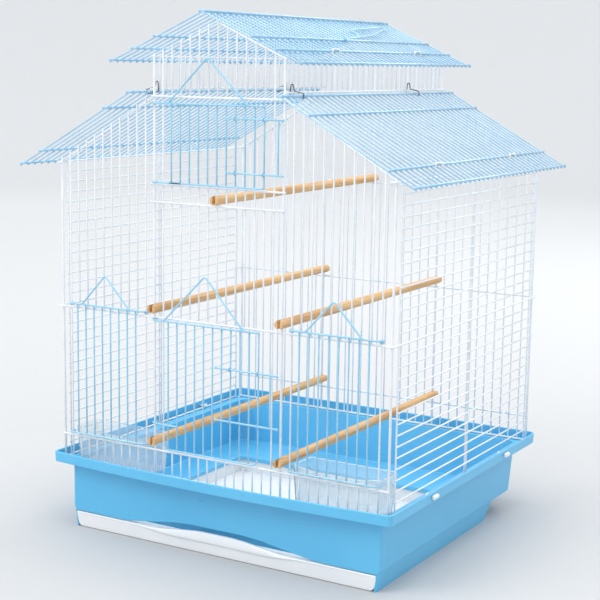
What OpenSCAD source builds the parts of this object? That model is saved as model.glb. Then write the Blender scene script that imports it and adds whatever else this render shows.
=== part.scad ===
// House-shaped bird cage: a wire cage under stepped, gabled wire roofs on a moulded tub
// with a pull-out litter drawer. Millimetres, +Z up, front towards -Y.
// The origin is on the ground, under the middle of the whole cage.

/* [Wire grid] */
// Distance between neighbouring wires
pitch = 12.5; // [12:0.1:13]
// Radius of a grid wire
wire_r = 1.0; // [0.9:0.05:1.1]
// Radius of a welded rail
rail_r = 1.25; // [1.15:0.05:1.35]
// Radius of a corner or bay post
post_r = 1.5; // [1.4:0.05:1.6]

/* [Levels] */
// Height of the moulded tub
tub_h = 96; // [94:1:100]
// Height of the rail under the lower doors
low_rail_z = 118.5; // [116:0.5:120]
// Height of the rail at half height
mid_rail_z = 279; // [276:0.5:282]
// Height of the rail that carries the top perch
perch_rail_z = 414.5; // [412:0.5:416]
// Height of the rail under the upper door
sill_z = 435; // [434:0.5:437]
// Height of the side walls' top rails
eave_z = 454; // [452:0.5:456]
// Height of the rail at the foot of the attic
attic_z = 535.5; // [533:0.5:538]
// Height of the attic walls' top rails
attic_eave_z = 579; // [577:0.5:581]
// Height of the ridge line of the upper roof's wires
ridge_z = 629; // [627:0.5:631]

/* [Roofs] */
// How far the roofs reach past the front wall
roof_front = 32; // [30:1:34]
// Gaps between the sloping wires of a roof panel
roof_gaps = 35; // [34:1:36]
// Radius of a roof crossbar
bar_r = 1.4; // [1.3:0.05:1.5]

/* [Tub and drawer] */
// How far the rim reaches past the front and back walls
rim_out = 12; // [11:0.5:13]
// Height of the rim band
rim_h = 13; // [12:0.5:15]
// How far the front rim bulges in its middle
rim_bow = 10; // [0:0.5:12]
// Wall thickness of the mouldings
wall = 2.5; // [2:0.1:3]
// Height of the drawer housing under the tub floor
plinth_h = 24; // [23:0.5:25]

/* [Fittings] */
// Radius of a perch
perch_r = 5.3; // [5:0.1:5.6]
// Radius of the wire that handles and latches are bent from
bent_r = 1.1; // [1:0.05:1.2]

/* [Hidden] */

white = [0.95, 0.96, 0.97];
sky = [0.36, 0.72, 0.93];
roof_blue = [0.42, 0.70, 0.90];
wood = [0.80, 0.56, 0.33];
steel = [0.45, 0.46, 0.48];
clear = [0.85, 0.93, 0.95, 0.5];

sides = 8;                 // flats on a wire
poke = 4.5;                 // how far the uprights stand above the gable wires
weld = 0.4;                // how deep two crossing wires are fused
gap = 0.35;                // room between pieces that can move or lift apart

// Wire numbers along the front, counted from the left corner post
bay = 11;
middle_gaps = 14;
last = 2 * bay + middle_gaps;
depth_gaps = 32;
cage_w = last * pitch;
cage_d = depth_gaps * pitch;
post_x = middle_gaps / 2 * pitch;
front_y = (roof_front - rim_out - cage_d) / 2;
back_y = front_y + cage_d;
ledge_z = tub_h - rim_h + wall;
wire_bottom = ledge_z + gap;
bottom_rail_z = ledge_z + gap + rail_r;

// Layers of the front wall, outwards from the plane of its wires
rail_dy = wire_r + rail_r - weld;
door_dy = rail_dy + rail_r + gap + wire_r;
bar_dy = door_dy + wire_r + bent_r - weld;
latch_dy = door_dy + wire_r + gap + bent_r;

// Roof slopes, as rise over run
low_rise = (attic_z - eave_z) / (cage_w / 2 - post_x);
low_roof_rise = 0.5525;
up_rise = 0.438;
low_roof_top = [102, ridge_z - 90.5];
low_eave_x = 261.5;
up_eave_x = 125.5;
roof_tip = 1.6;             // how far the sloping wires pass the lowest crossbar
roof_y0 = front_y - roof_front + wire_r;
roof_y1 = back_y;
roof_pitch = (roof_y1 - roof_y0) / roof_gaps;

function wire_x(k) = -cage_w / 2 + k * pitch;
function in_span(k, a, b) = k > a && k < b;
function gable_z(x) = abs(x) > post_x + 0.01
  ? eave_z + (cage_w / 2 - abs(x)) * low_rise
  : attic_eave_z + (post_x - abs(x)) * up_rise;
function low_roof_z(x) = low_roof_top[1] - (abs(x) - low_roof_top[0]) * low_roof_rise;
function up_roof_z(x) = ridge_z - abs(x) * up_rise;
function smooth(t) = let(u = min(1, max(0, t))) u * u * (3 - 2 * u);

// A straight wire from a to b
module rod(a, b, r) {
  d = b - a;
  l = norm(d);
  translate(a)
    rotate([0, acos(d[2] / l), atan2(d[1], d[0])])
      cylinder(h = l, r = r, $fn = sides);
}

// Wires through a list of points, with a ball at each bend
module bent_wire(points, r) {
  for (i = [0 : len(points) - 2])
    rod(points[i], points[i + 1], r);
  for (i = [1 : 1 : len(points) - 2])
    translate(points[i])
      sphere(r = r * 1.04, $fn = 16);
}

// A closed ring round a wire along Z
module eye(p, r_in, height = 2.4) {
  translate(p)
    difference() {
      cylinder(h = height, r = r_in + 1.7, $fn = 24, center = true);
      cylinder(h = height + 1, r = r_in, $fn = 24, center = true);
    }
}

module both_sides() {
  children();
  mirror([1, 0, 0]) children();
}

/* ---- front and back walls ---- */

// Rails of a house-shaped wall; s is -1 where they lie on the outside of the front
module house_outline(y, s) {
  for (m = [-1, 1]) {
    rod([m * (cage_w / 2 + 1), y, eave_z - low_rise],
        [m * (post_x - 2), y, attic_z + 2 * low_rise], rail_r);
    rod([m * (post_x + 2), y, attic_eave_z - 2 * up_rise],
        [-m, y, attic_eave_z + (post_x + 1) * up_rise], rail_r);
  }
  rod([-post_x - 3, y - 2 * s * rail_dy, attic_z], [post_x + 3, y - 2 * s * rail_dy, attic_z], rail_r);
}

module wall_rail(y, z, half, r = rail_r) {
  rod([-half, y, z], [half, y, z], r);
}

// An upright wire from z0 to z1 at wire number k
module upright(k, y, z0, z1, r = wire_r) {
  translate([wire_x(k), y, z0])
    cylinder(h = z1 - z0, r = r, $fn = sides);
}

module front_panel() color(white) {
  for (k = [0 : last]) {
    thick = k == 0 || k == bay || k == last - bay || k == last;
    feeder = in_span(k, 1, bay - 1) || in_span(k, last - bay + 1, last - 1);
    doorway = in_span(k, bay + 1, last - bay - 1);
    top = gable_z(wire_x(k)) + poke;
    if (thick) {
      upright(k, front_y, wire_bottom, top, post_r);
    } else if (feeder) {
      upright(k, front_y, wire_bottom, low_rail_z + 1, wire_r);
      upright(k, front_y, mid_rail_z - 1, top, wire_r);
    } else if (doorway) {
      upright(k, front_y, wire_bottom, low_rail_z + 1, wire_r);
      upright(k, front_y, mid_rail_z - 1, sill_z + 1, wire_r);
      upright(k, front_y, attic_z - 1, top, wire_r);
    } else {
      upright(k, front_y, wire_bottom, top, wire_r);
    }
  }
  house_outline(front_y + rail_dy, 1);
  wall_rail(front_y + rail_dy, bottom_rail_z, cage_w / 2 + 1.5);
  wall_rail(front_y - rail_dy, low_rail_z, cage_w / 2 + 1.5);
  wall_rail(front_y - rail_dy, mid_rail_z, cage_w / 2 + 1.5);
  wall_rail(front_y - rail_dy, perch_rail_z, post_x + 3);
  wall_rail(front_y - rail_dy, sill_z, post_x + 3);
}

module back_panel() color(white) {
  for (k = [0 : last]) {
    thick = k == 0 || k == bay || k == last - bay || k == last;
    upright(k, back_y, wire_bottom, gable_z(wire_x(k)) + poke, thick ? post_r : wire_r);
  }
  house_outline(back_y - rail_dy, -1);
  wall_rail(back_y - rail_dy, bottom_rail_z, cage_w / 2 + 1.5);
  wall_rail(back_y + rail_dy, low_rail_z, cage_w / 2 + 1.5);
  wall_rail(back_y + rail_dy, mid_rail_z, cage_w / 2 + 1.5);
  wall_rail(back_y + rail_dy, perch_rail_z, post_x + 3);
}

/* ---- side walls ---- */

side_x = cage_w / 2 + 1.5;
side_y0 = front_y + pitch;
side_y1 = back_y - pitch;
side_rows_down = 14;
side_rows_up = 14;

// A rail along a side wall whose ends hook round the corner posts
module hooked_rail(z) {
  x = side_x + rail_dy;
  hook_y = 2 * rail_dy + gap + rail_r;
  bent_wire([
    [x - 8, front_y - hook_y, z],
    [x, front_y - hook_y, z],
    [x, back_y + hook_y, z],
    [x - 8, back_y + hook_y, z]
  ], rail_r);
}

module side_panel() {
  for (k = [-side_rows_down : side_rows_up - 1])
    if (k != 0)
      rod([side_x + wire_r * 2 - weld, side_y0 - 1.5, mid_rail_z + k * pitch],
          [side_x + wire_r * 2 - weld, side_y1 + 1.5, mid_rail_z + k * pitch], wire_r * 0.95);
  rod([side_x + wire_r * 2 - weld, side_y0 - 1.5, bottom_rail_z],
      [side_x + wire_r * 2 - weld, side_y1 + 1.5, bottom_rail_z], rail_r);
  hooked_rail(mid_rail_z);
  hooked_rail(eave_z);
  middle = (side_y0 + side_y1) / 2;
  for (y = [side_y0, middle - 2.2, middle + 2.2, side_y1])
    translate([side_x, y, wire_bottom])
      cylinder(h = eave_z + 2 - wire_bottom, r = wire_r, $fn = sides);
}

module left_side_panel() color(white) mirror([1, 0, 0]) side_panel();
module right_side_panel() color(white) side_panel();

/* ---- attic walls ---- */

attic_wall_x = post_x + post_r + rail_r + gap;
attic_foot_z = attic_z + 7.7;
attic_top_z = attic_eave_z + 1;

module attic_wall() {
  x = attic_wall_x;
  for (z = [attic_foot_z, attic_top_z])
    rod([x, front_y - 3, z], [x, back_y + 3, z], rail_r);
  for (k = [1 : depth_gaps - 1])
    translate([x - wire_r - rail_r + weld, front_y + k * pitch, attic_foot_z - 2])
      cylinder(h = attic_top_z - attic_foot_z + 4, r = wire_r, $fn = sides);
}

module left_attic_wall() color(white) mirror([1, 0, 0]) attic_wall();
module right_attic_wall() color(white) attic_wall();

/* ---- roofs ---- */

// A sloping panel: wires down the slope and crossbars on top of them
module roof_panel(x0, x1, z0, rise, bars) {
  a = atan(rise);
  up = (wire_r * 0.9 + bar_r - weld);
  for (k = [0 : roof_gaps])
    rod([x0, roof_y0 + k * roof_pitch, z0],
        [x1, roof_y0 + k * roof_pitch, z0 - (x1 - x0) * rise], wire_r * 0.9);
  for (x = bars)
    rod([x + up * sin(a), roof_y0 - wire_r, z0 - (x - x0) * rise + up * cos(a)],
        [x + up * sin(a), roof_y1 + wire_r, z0 - (x - x0) * rise + up * cos(a)], bar_r);
}

low_bars = [low_roof_top[0], 136, 232, low_eave_x];
up_bars = [2.6, 64, 95, up_eave_x];

module lower_roof() {
  x0 = low_roof_top[0] - 4;
  roof_panel(x0, low_eave_x + roof_tip, low_roof_z(x0), low_roof_rise, low_bars);
}

module upper_roof() {
  roof_panel(0.6, up_eave_x + roof_tip, up_roof_z(0.6), up_rise, up_bars);
}

module lower_roof_left() color(roof_blue) mirror([1, 0, 0]) lower_roof();
module lower_roof_right() color(roof_blue) lower_roof();
module upper_roof_left() color(roof_blue) mirror([1, 0, 0]) upper_roof();
module upper_roof_right() color(roof_blue) upper_roof();

/* ---- what holds the roofs ---- */

// Where the middle of a crossbar at x ends up, for a slope through z0 at x0
function bar_at(x, z, rise) = let(a = atan(rise), up = wire_r * 0.9 + bar_r - weld)
  [x + up * sin(a), z + up * cos(a)];
low_top_bar = bar_at(low_bars[0], low_roof_z(low_bars[0]), low_roof_rise);
low_third_bar = bar_at(low_bars[2], low_roof_z(low_bars[2]), low_roof_rise);
up_second_bar = bar_at(up_bars[1], up_roof_z(up_bars[1]), up_rise);
up_third_bar = bar_at(up_bars[2], up_roof_z(up_bars[2]), up_rise);
staple_r = 1.0;
ring_r = 0.65;
staple_w = 16;

// A staple over roof bar b, hooked under wall rail a
module staple(a, b, y, tuck) {
  for (m = [-1, 1]) {
    yy = y + m * staple_w / 2;
    bent_wire([
      [a[0] + tuck, yy, a[1] - 2.6], [a[0] + 2.7, yy, a[1] - 2.6],
      [b[0] + 3, yy, b[1]], [b[0] + 2, yy, b[1] + 2]
    ], staple_r);
    translate([b[0] + 2, yy, b[1] + 2])
      sphere(r = staple_r * 1.04, $fn = 16);
  }
  rod([b[0] + 2, y - staple_w / 2, b[1] + 2], [b[0] + 2, y + staple_w / 2, b[1] + 2], staple_r);
}

module roof_staples() color(white) both_sides() {
  for (k = [9, 26])
    staple([side_x + rail_dy, eave_z], low_third_bar, roof_y0 + k * roof_pitch, -2);
  for (k = [10, 27])
    staple([attic_wall_x, attic_top_z], up_third_bar, roof_y0 + k * roof_pitch, 0.3);
}

// A sprung clip closed round the attic wall's foot rail and the lower roof's top bar
module roof_ring(y) {
  a = [attic_wall_x, attic_foot_z];
  b = low_top_bar;
  crest = 9;
  bent_wire([for (p = [
    [a[0] - 1.4, a[1] + crest], [a[0] - 2.5, a[1] - 2.5], [b[0] + 2.6, b[1] - 3.1],
    [b[0] + 2.6, b[1] + 2.6], [a[0] + 2.6, a[1] + 2], [a[0] + 1.4, a[1] + crest],
    [a[0] - 1.4, a[1] + crest]
  ]) [p[0], y, p[1]]], ring_r);
  translate([a[0] - 1.4, y, a[1] + crest])
    sphere(r = ring_r * 1.04, $fn = 16);
}

module roof_rings() color(steel) both_sides() {
  roof_ring(front_y + 0.74 * pitch);
  roof_ring(front_y + 23.48 * pitch);
}

/* ---- folding handle on the upper roof ---- */

handle_eye_y = roof_y0 + 16.5 * roof_pitch;
handle_lift = 2.5;

// A point on the right-hand slope of the upper roof, clear above its wires
function on_slope(x, y) = let(a = atan(up_rise))
  [x + handle_lift * sin(a), y, up_roof_z(x) + handle_lift * cos(a)];

module carry_handle() color(roof_blue) {
  bent_wire([
    on_slope(up_bars[1] - 2.7, handle_eye_y), on_slope(58, handle_eye_y + 30), on_slope(47, 85),
    on_slope(25, 158), on_slope(22, 166), on_slope(19, 158), on_slope(34, 48),
    on_slope(45, 49), on_slope(57, 27)
  ], bent_r);
  translate([up_second_bar[0], handle_eye_y, up_second_bar[1]])
    rotate([90, 0, 0])
      eye([0, 0, 0], bar_r + gap, 4);
}

/* ---- doors of the middle bay ---- */

door_half = 62.5;
hook_post_x = wire_x(bay);
latch_eyes = [wire_x(20), wire_x(23)];

// A door of eleven wires hinged on the left bay post; the eyes wrap the post.
// dx sets its frame off to one side, corner is the size of its bent lower corner
module bay_door(z0, z1, eye0, latch_z, foot, apex, dx, corner) {
  y = front_y - bar_dy;
  left = dx - door_half;
  right = dx + door_half;
  for (k = [0 : 10]) {
    low = k == 10 ? z0 + corner - 1.5 : z0 - 0.6;
    translate([left + k * pitch, front_y - door_dy, low])
      cylinder(h = z1 + 1.2 - low, r = wire_r, $fn = sides);
  }
  rod([hook_post_x + 7, y, z1], [right + 1.5, y, z1], bent_r);
  bent_wire([
    [left - 1.5, y, z0], [right - corner, y, z0],
    [right - corner * 0.28, y, z0 + corner * 0.28], [right, y, z0 + corner]
  ], bent_r);
  rod([hook_post_x + 7, y, eye0], [left + pitch + 1.5, y, eye0], bent_r);
  for (z = [eye0, z1]) {
    eye([hook_post_x, front_y, z], post_r + gap);
    bent_wire([
      [hook_post_x - 0.6, front_y - post_r - gap - 1.1, z], [hook_post_x + 3, front_y - bar_dy + 0.4, z],
      [hook_post_x + 7.4, y, z]
    ], bent_r * 0.9);
  }
  bent_wire([
    [foot[0], y, z1], [foot[0] + 3.5, y, z1 + 1.6], [apex[0] - 3, y, apex[1] - 1.5],
    [apex[0] + 3, y, apex[1] - 1.5], [foot[1] - 3.5, y, z1 + 1.6], [foot[1], y, z1]
  ], bent_r);
  for (z = latch_z, x = latch_eyes)
    translate([x + dx, front_y - latch_dy, z])
      rotate([0, 90, 0])
        difference() {
          cylinder(h = 1.8, r = bent_r + gap + 1.2, $fn = 12, center = true);
          cylinder(h = 3, r = (bent_r + gap) / cos(15), $fn = 12, center = true);
        }
}

// The sliding latch of a middle door: two bars with knobbed ends and an upright grip
module bay_latch(latch_z, start_x, grip_x, end_x) {
  y = front_y - latch_dy;
  for (z = latch_z) {
    rod([start_x, y, z], [end_x, y, z], bent_r);
    for (x = [start_x, end_x])
      translate([x, y, z])
        sphere(r = x == end_x ? 1.7 : 1.5, $fn = 16);
  }
  rod([grip_x, y, latch_z[0] - 0.6], [grip_x, y, latch_z[1] + 0.6], bent_r * 0.95);
}

lower_latch_z = [169, 230];
upper_latch_z = [453.5, 513.7];
lower_door_top = mid_rail_z - rail_r - gap - 1.2;
upper_door_foot = sill_z + rail_r + gap + 1.2;
module lower_door() color(sky)
  bay_door(122.5, lower_door_top, 152, lower_latch_z, [-72.7, 42.3], [-12.5, 334], -2.7, 5.5);
module upper_door() color(sky)
  bay_door(upper_door_foot, 528, upper_door_foot, upper_latch_z, [-66, 45.7], [-10, 580], 2, 1.5);
module lower_door_latch() color(sky) bay_latch(lower_latch_z, 3, 77, 86);
module upper_door_latch() color(sky) bay_latch(upper_latch_z, 16.5, 84, 89.5);

/* ---- lift-up feeder doors ---- */

feeder_x = wire_x(bay) / 2 + wire_x(0) / 2;
feeder_bottom_z = low_rail_z + rail_r + gap + 2.9;
feeder_guide = 4.5 * pitch;

// Built round its own middle, then set in the left or the right bay
module feeder_door() {
  y = front_y - bar_dy;
  top_z = mid_rail_z + 5;
  for (i = [-3.5 : 3.5])
    translate([i * pitch, front_y - door_dy, feeder_bottom_z - 0.6])
      cylinder(h = top_z - feeder_bottom_z + 1.2, r = wire_r, $fn = sides);
  for (z = [feeder_bottom_z, top_z])
    rod([-feeder_guide + 5, y, z], [feeder_guide - 5, y, z], bent_r);
  for (m = [-1, 1], z = [feeder_bottom_z, top_z]) {
    translate([m * feeder_guide, front_y, z == top_z ? mid_rail_z + rail_r + gap + 2.2 : z])
      eye([0, 0, 0], wire_r + gap, z == top_z ? 4.4 : 2.4);
    bent_wire([
      [m * (feeder_guide + 0.6), front_y - wire_r - gap - 1.1, z],
      [m * (feeder_guide - 2), front_y - bar_dy + 0.4, z], [m * (feeder_guide - 5.4), y, z]
    ], bent_r * 0.9);
  }
  bent_wire([
    [-37, y, top_z], [-34, y, top_z + 1.8], [-2.5, y, 321],
    [2.5, y, 321], [34, y, top_z + 1.8], [37, y, top_z]
  ], bent_r);
}

module left_feeder_door() color(sky) translate([feeder_x, 0, 0]) feeder_door();
module right_feeder_door() color(sky) translate([-feeder_x, 0, 0]) feeder_door();

/* ---- feeder cups ---- */

cup_half = 57.2;
cup_y0 = front_y + wall + 4;
cup_y1 = front_y + 50;
cup_floor_z = 82;
cup_rim_z = 128;
cup_lip_h = 1.4;
cup_wall = 1.6;

function arc_pts(cx, cy, r, a0, a1, n = 6) =
  [for (i = [0 : n]) let(a = a0 + (a1 - a0) * i / n) [cx + r * cos(a), cy + r * sin(a)]];

// Outline of a box with rounded corners, front and back radii apart
// and the front edge bulging out by bow in its middle
function plan_pts(hx, y0, y1, rf, rb, bow = 0) = concat(
  arc_pts(hx - rb, y1 - rb, rb, 0, 90), arc_pts(-hx + rb, y1 - rb, rb, 90, 180),
  arc_pts(-hx + rf, y0 + rf, rf, 180, 270),
  [for (i = [-7 : 7]) if (bow > 0) [(hx - rf) * i / 8, y0 - bow * (1 - i * i / 64)]],
  arc_pts(hx - rf, y0 + rf, rf, 270, 360));

module block(hx, y0, y1, rf, rb, z0, z1, bow = 0) {
  translate([0, 0, z0])
    linear_extrude(z1 - z0)
      polygon(plan_pts(hx, y0, y1, rf, rb, bow));
}

// A trough with a dipped rim, hung on the low rail by a lip
module feeder_cup() {
  lip_z = low_rail_z + rail_r + gap;
  difference() {
    block(cup_half, cup_y0, cup_y1, 4, 9, cup_floor_z, cup_rim_z);
    block(cup_half - cup_wall, cup_y0 + cup_wall, cup_y1 - cup_wall, 2.4, 7.4,
          cup_floor_z + cup_wall, cup_rim_z + 1);
    translate([0, (cup_y0 + cup_y1) / 2, cup_rim_z + 96])
      rotate([90, 0, 0])
        cylinder(h = cup_y1 - cup_y0 + 2, r = 100, center = true, $fn = 96);
  }
  translate([-46, front_y - 2.8, lip_z])
    cube([92, cup_y0 - front_y + 3.4, cup_lip_h]);
}

module left_feeder_cup() color(clear) translate([feeder_x, 0, 0]) feeder_cup();
module right_feeder_cup() color(clear) translate([-feeder_x, 0, 0]) feeder_cup();

/* ---- perches ---- */

perch_over = 8;

// A dowel whose slotted ends straddle an upright of the front and back walls,
// gripping them lift above the rail; its back end may stand skew wires further left
module perch(x, rail_z, lift = 0, skew = 0) {
  z = rail_z + rail_r + gap + lift + perch_r;
  translate([x, front_y, z])
    rotate([0, 0, atan(skew * pitch / cage_d)])
      difference() {
        translate([0, -perch_over, 0])
          rotate([-90, 0, 0])
            cylinder(h = cage_d + 2 * perch_over, r = perch_r, $fn = 48);
        for (y = [-perch_over - 1, cage_d - post_r - 0.6])
          translate([-post_r - gap, y, -perch_r - 1])
            cube([2 * (post_r + gap), perch_over + post_r + 1.6, 2 * perch_r + 2]);
      }
}

module perch_top() color(wood) perch(0, perch_rail_z, skew = 1);
module perch_mid_left() color(wood) perch(-post_x, mid_rail_z, lift = 3);
module perch_mid_right() color(wood) perch(post_x, mid_rail_z, lift = 3);
module perch_low_left() color(wood) perch(-post_x, low_rail_z, lift = 4);
module perch_low_right() color(wood) perch(post_x, low_rail_z, lift = 4);

/* ---- moulded tub ---- */

rim_x = cage_w / 2 + 10;
rim_y0 = front_y - rim_out;
rim_y1 = back_y + rim_out;
body_x = 216.5;
body_y0 = front_y + 3;
housing_x = [211, 215.5];      // side of the drawer housing at the ground and at the tub floor
housing_back = [126, 140];     // back of the drawer housing at the ground and at the tub floor
tub_back = [193, back_y];      // back of the tub at its floor and at the rim
mouth_x = [208, 211.5];        // side of the drawer's mouth at the ground and at mouth_side_z
mouth_side_z = 20.5;
drawer_half = 210.5;
pocket_d = 9;
litter_half = 163;             // half the width of the opening in the tub floor
litter_back = 115;

// Everything behind a wall that leans from y[0] at z0 to y[1] at z1
module behind(y, z0, z1) {
  rotate([90, 0, 90])
    translate([0, 0, -300])
      linear_extrude(600)
        polygon([[y[0], z0], [y[1], z1], [y[1] + 200, z1], [y[1] + 200, z0]]);
}

// Everything outside two side walls that lean from x[0] at z0 to x[1] at z1
module beside(x, z0, z1) {
  both_sides()
    rotate([90, 0, 0])
      translate([0, 0, -300])
        linear_extrude(600)
          polygon([[x[0], z0], [x[1], z1], [x[1] + 100, z1], [x[1] + 100, z0]]);
}

// Height of the drawer mouth's upper edge and of the drawer front's top edge
function mouth_z(x) = mouth_side_z + 12.5 * smooth((150 - abs(x)) / 120);
function drawer_z(x) = 19.3 + 6.9 * smooth((100 - abs(x)) / 85);
edge_xs = concat([-drawer_half], [for (x = [-150 : 10 : 150]) x], [drawer_half]);

clip_ys = [-93.5, 117];
tongue_z = [bottom_rail_z + rail_r + gap, bottom_rail_z + rail_r + gap + 2.4];
tongue_w = 7;

module base_tub() color(sky) {
  difference() {
    union() {
      difference() {
        block(body_x, body_y0, tub_back[1], 3, 20, plinth_h, ledge_z);
        behind(tub_back, plinth_h, tub_h);
      }
      difference() {
        block(housing_x[1], body_y0, housing_back[1], 3, 18, 0, plinth_h + 1);
        behind(housing_back, 0, plinth_h);
        beside(housing_x, 0, plinth_h);
      }
      block(rim_x, rim_y0, rim_y1, 5, 10, tub_h - rim_h, tub_h, rim_bow);
    }
    difference() {
      block(body_x - wall, body_y0 + wall, tub_back[1] - wall, 2, 18, plinth_h + wall, tub_h + 1);
      behind([tub_back[0] - wall, tub_back[1] - wall], plinth_h, tub_h);
      block(body_x, body_y0, body_y0 + pocket_d + 6, 2, 2, plinth_h, plinth_h + 12.5);
    }
    block(rim_x - wall, rim_y0 + wall, rim_y1 - wall, 3, 8, ledge_z, tub_h + 1, rim_bow);
    // hollow for the drawer, its mouth and the finger pocket above it
    difference() {
      block(mouth_x[1], body_y0 - 1, housing_back[1] - wall, 1, 16, wall - 0.5, plinth_h);
      behind([housing_back[0] - wall, housing_back[1] - wall], 0, plinth_h);
      beside(mouth_x, -1, mouth_side_z);
      translate([-mouth_x[1] - 1, body_y0 - 2, mouth_side_z])
        cube([2 * mouth_x[1] + 2, wall + 2, plinth_h]);
    }
    translate([0, body_y0 + pocket_d, 0])
      rotate([90, 0, 0])
        linear_extrude(pocket_d + 1)
          polygon(concat([[mouth_x[0], -1], [-mouth_x[0], -1], [-mouth_x[1], mouth_side_z]],
            [for (x = edge_xs) if (abs(x) < 200) [x, mouth_z(x)]], [[mouth_x[1], mouth_side_z]]));
    // opening in the tub floor, above the drawer's tray
    block(litter_half, body_y0 + pocket_d + 5, litter_back, 4, 6, plinth_h - 1, plinth_h + wall + 1);
    // slots for the clips' tongues
    both_sides()
      for (y = clip_ys)
        translate([rim_x - wall - 1, y - tongue_w / 2 - gap, tongue_z[0] - gap])
          cube([wall + 2, tongue_w + 2 * gap, tongue_z[1] - tongue_z[0] + 2 * gap]);
  }
}

module litter_drawer() color(white) {
  runner_half = 205;
  tray_half = litter_half + 3.5;
  tray_back = housing_back[0] - wall - 4;
  tray_top = mouth_side_z - 0.6;
  tray_wall = 2;
  tray_floor = 1.8;
  front_t = 3;
  corner_r = 7;
  corner_x = drawer_half - 1.5 - corner_r;
  translate([0, body_y0 + front_t, 0])
    rotate([90, 0, 0])
      linear_extrude(front_t)
        polygon(concat([for (x = edge_xs) [x, drawer_z(x)]],
          arc_pts(corner_x, corner_r + 0.8, corner_r, 0, -90),
          arc_pts(-corner_x, corner_r + 0.8, corner_r, -90, -180)));
  // the lip that swells along the top of the front
  translate([0, body_y0 + 0.5, 0])
    rotate([90, 0, 0])
      linear_extrude(3)
        polygon(concat([for (x = edge_xs) [x * 0.985, drawer_z(x)]],
          [for (i = [len(edge_xs) - 1 : -1 : 0]) [edge_xs[i] * 0.985, drawer_z(edge_xs[i]) - 3.5]]));
  difference() {
    union() {
      block(runner_half, body_y0 + front_t - 0.5, tray_back, 2, 8, wall, wall + tray_floor);
      block(tray_half, body_y0 + front_t - 0.5, tray_back, 2, 8, wall, tray_top);
    }
    block(tray_half - tray_wall, body_y0 + front_t, tray_back - tray_wall, 2, 6, wall + tray_floor, plinth_h);
  }
  // the back wall stands taller in the middle, where the mouth does
  translate([0, tray_back, 0])
    rotate([90, 0, 0])
      linear_extrude(tray_wall)
        polygon(concat([[140, wall + 1], [-140, wall + 1]],
          [for (x = edge_xs) if (abs(x) < 150) [x, min(plinth_h - 1.5, mouth_z(x) - 0.8)]]));
}

/* ---- clips that hold the cage on the tub ---- */

// A push-in clip in its own place on the right-hand rim: a knob outside the rim and a
// tongue through it, over the side wall's bottom rail, with a barb that stops it
module rim_clip(y) {
  inner_x = side_x - 2;
  barb_l = 1.8;
  tongue_h = tongue_z[1] - tongue_z[0];
  translate([rim_x + gap, y, (tongue_z[0] + tongue_z[1]) / 2])
    rotate([0, 90, 0])
      linear_extrude(3.6)
        polygon(plan_pts(2.7, -7, 7, 2.5, 2.5));
  translate([inner_x, y - tongue_w / 2, tongue_z[0]])
    cube([rim_x + gap + 1 - inner_x, tongue_w, tongue_h]);
  translate([inner_x, y - tongue_w / 2, tongue_z[0]])
    cube([barb_l, tongue_w, tongue_h + 1.1]);
}

module clip_front_left() color(white) mirror([1, 0, 0]) rim_clip(clip_ys[0]);
module clip_front_right() color(white) rim_clip(clip_ys[0]);
module clip_back_left() color(white) mirror([1, 0, 0]) rim_clip(clip_ys[1]);
module clip_back_right() color(white) rim_clip(clip_ys[1]);

base_tub();
litter_drawer();
front_panel();
back_panel();
left_side_panel();
right_side_panel();
left_attic_wall();
right_attic_wall();
lower_roof_left();
lower_roof_right();
upper_roof_left();
upper_roof_right();
roof_staples();
roof_rings();
carry_handle();
lower_door();
lower_door_latch();
upper_door();
upper_door_latch();
left_feeder_door();
right_feeder_door();
left_feeder_cup();
right_feeder_cup();
perch_top();
perch_mid_left();
perch_mid_right();
perch_low_left();
perch_low_right();
clip_front_left();
clip_front_right();
clip_back_left();
clip_back_right();
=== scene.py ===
"""Looks of a house-shaped bird cage: coated wire walls and roofs, a moulded tub, a litter drawer.

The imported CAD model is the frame. The wires, mouldings and cups get rounded meshes in its place.
Sizes below are millimetres. new_object() and cut() turn them into metres.
"""

import math

import bmesh
import bpy
from mathutils import Matrix, Vector


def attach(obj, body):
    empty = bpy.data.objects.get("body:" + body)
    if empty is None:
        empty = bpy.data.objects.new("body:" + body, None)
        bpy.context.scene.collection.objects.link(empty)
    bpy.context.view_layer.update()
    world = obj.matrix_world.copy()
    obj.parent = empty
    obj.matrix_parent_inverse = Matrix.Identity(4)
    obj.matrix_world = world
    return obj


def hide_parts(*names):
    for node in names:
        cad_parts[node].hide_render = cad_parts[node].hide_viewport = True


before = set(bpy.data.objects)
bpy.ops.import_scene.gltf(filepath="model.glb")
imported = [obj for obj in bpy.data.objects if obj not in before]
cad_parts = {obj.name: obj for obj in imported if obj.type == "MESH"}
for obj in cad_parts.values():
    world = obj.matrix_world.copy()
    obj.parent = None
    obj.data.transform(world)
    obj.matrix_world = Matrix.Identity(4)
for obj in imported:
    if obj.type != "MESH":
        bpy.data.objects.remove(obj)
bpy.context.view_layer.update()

MM = 0.001

# ---------------------------------------------------------------- how finely things are drawn

TUBE_SIDES = 12
COIL_SIDES = 8
COIL_STEPS = 18
BEND_STEPS = 5
SOFT_STEPS = 4
BOW_STEPS = 12
ARCH_STEPS = 80
# the most of a straight that a bend or a rounded corner may use up
BEND_SHARE = 0.48
SOFT_SHARE = 0.45
# how far out, and how wide, the two steps of a wire's domed end are, as shares of its radius
DOME = ((0.25, 0.8), (0.38, 0.45))
# angles above which an edge stays sharp, in degrees
WIRE_SHARP = 40
CUT_SHARP = 35
MOULD_SHARP = 50

# ---------------------------------------------------------------- driving sizes, as in the CAD

PITCH = 12.5
WIRE_R = 1.0
RAIL_R = 1.25
POST_R = 1.5
BAR_R = 1.4
BENT_R = 1.1
STAPLE_R = 1.0
RING_R = 0.65
WELD = 0.4
GAP = 0.35
POKE = 4.5

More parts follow.
